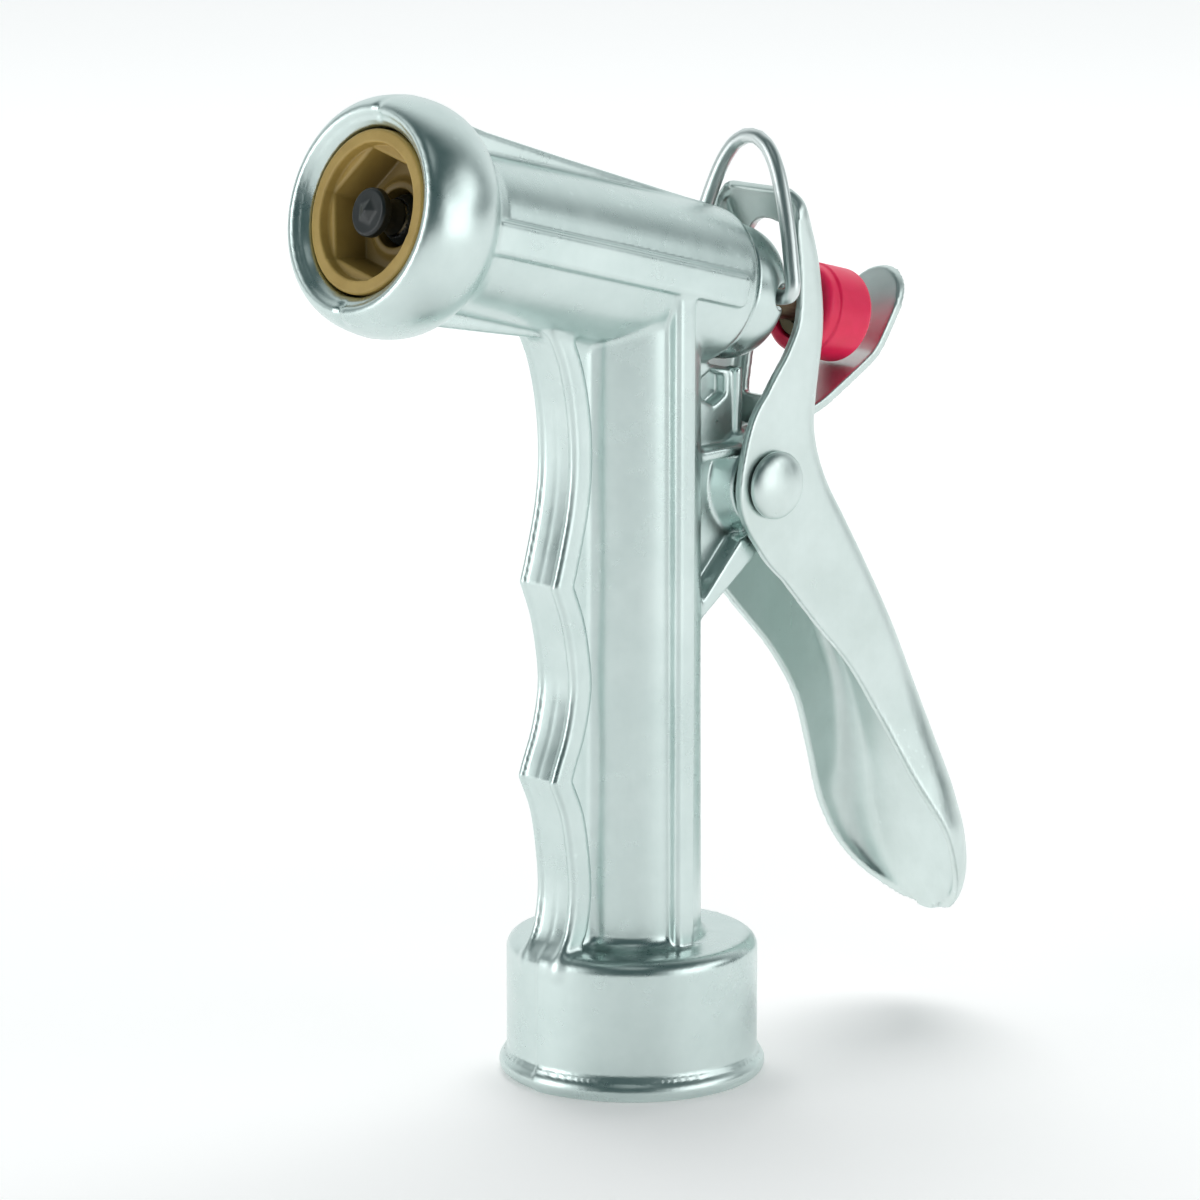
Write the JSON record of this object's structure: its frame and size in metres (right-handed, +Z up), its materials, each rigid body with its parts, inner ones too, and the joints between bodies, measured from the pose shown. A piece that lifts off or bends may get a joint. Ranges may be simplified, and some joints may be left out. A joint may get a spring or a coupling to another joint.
{
  "type": "pistol-grip hose nozzle",
  "caption": "Die-cast pistol-grip water nozzle with a scalloped handle, rear squeeze lever, wire clip, red adjusting knob and a round hose socket in its foot.",
  "frame": {"origin": "under the middle of the whole nozzle, in the plane of the foot's flat underside, which it stands on; the axis of the handle and hose socket is 3.42 mm in front of it, at y = -0.00342", "axes": "+Z up along the handle, -Y the way the water leaves, +X across, to the left of the user who holds it"},
  "size_m": [0.0344, 0.1028, 0.1295],
  "materials": {
    "cast_zinc": "satin die cast zinc, lightly polished",
    "plated_sheet": "satin plated sheet steel",
    "spring_steel": "bright drawn wire",
    "tan_plastic": "moulded tan plastic",
    "black_plastic": "moulded black plastic",
    "red_plastic": "soft satin red plastic",
    "brass": "turned brass",
    "rubber": "black rubber"
  },
  "bodies": {
    "nozzle_body": {"body": "cast_zinc", "nozzle_insert": "tan_plastic", "insert_seal": "rubber", "packing_nut": "cast_zinc", "gland_seal": "rubber", "stem_packing": "rubber", "packing_follower": "brass", "spring_rear_washer": "spring_steel", "return_spring": "spring_steel", "pivot_rivet": "plated_sheet", "hose_washer": "rubber"},
    "lever": {"trigger_lever": "plated_sheet"},
    "stem": {"valve_stem": "brass", "valve_tip": "black_plastic", "seat_washer": "rubber", "washer_backing": "brass", "stem_clip": "spring_steel", "spring_front_washer": "spring_steel"},
    "knob": {"adjusting_knob": "red_plastic", "knob_bushing": "brass"},
    "clip": {"hold_open_clip": "spring_steel"}
  },
  "joints": [
    {"name": "trigger_squeeze", "type": "hinge", "parent": "nozzle_body", "child": "lever", "pos_m": [0, 0.01348, 0.0759], "axis": [-1, 0, 0], "range_deg": [0, 15], "stiffness_Nm_per_rad": 0.45, "springref_deg": -17.19},
    {"name": "stem_pull", "type": "slide", "parent": "nozzle_body", "child": "stem", "axis": [0, 0.9674, -0.2533], "range_m": [0, 0.0046], "deforming": ["return_spring"]},
    {"name": "knob_turn", "type": "hinge", "parent": "stem", "child": "knob", "pos_m": [0, 0.02899, 0.09592], "axis": [0, 0.9674, -0.2533], "continuous": true},
    {"name": "clip_swing", "type": "hinge", "parent": "nozzle_body", "child": "clip", "pos_m": [0, 0.01498, 0.1], "axis": [1, 0, 0], "range_deg": [0, 26]}
  ],
  "couplings": [
    {"joint": "stem_pull", "follows": "trigger_squeeze", "m_per_rad": 0.017}
  ]
}
